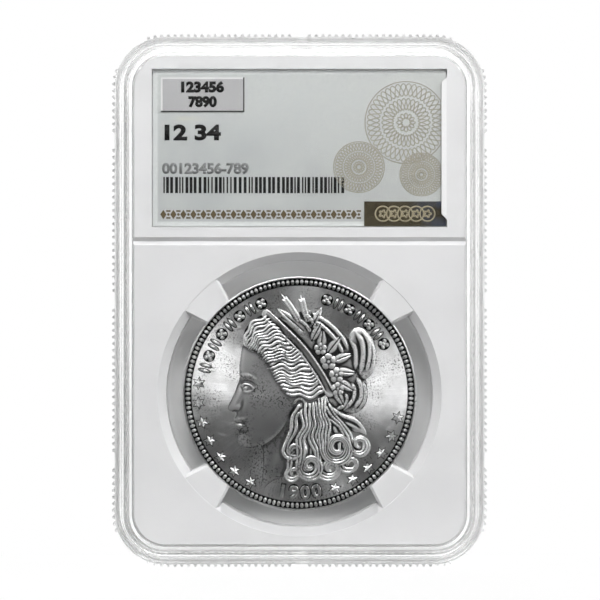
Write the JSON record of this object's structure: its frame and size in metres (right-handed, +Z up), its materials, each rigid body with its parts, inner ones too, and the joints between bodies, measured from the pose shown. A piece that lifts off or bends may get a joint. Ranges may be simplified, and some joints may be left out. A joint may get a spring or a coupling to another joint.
{
  "type": "graded coin slab",
  "caption": "Sealed clear holder with a white pronged core, a printed label card and one large silver coin, standing on its bottom edge.",
  "frame": {"origin": "on the ground plane under the middle of the slab: centre of the width and of the thickness, at the bottom edge", "axes": "+Z up along the slab's height, +X to the right seen from the front, front face towards -Y"},
  "size_m": [0.0604, 0.008, 0.0857],
  "materials": {
    "clear_front": "clear, polished, with moulded grip teeth",
    "clear_rear": "clear, polished, with moulded grip teeth",
    "white_core": "white, fine satin moulded",
    "coin_silver": "bright silver with a turning mint lustre",
    "label_card": "silver-grey card with a fine grain, printed",
    "sticker": "matt grey film with a thin printed frame",
    "dark_foil": "dark olive-brown foil with a faint rainbow sheen"
  },
  "bodies": {
    "root": {"front_shell": "clear_front", "rear_shell": "clear_rear", "core": "white_core", "coin": "coin_silver", "label_card": "label_card", "grade_sticker": "sticker", "foil_patch": "dark_foil"}
  },
  "joints": []
}
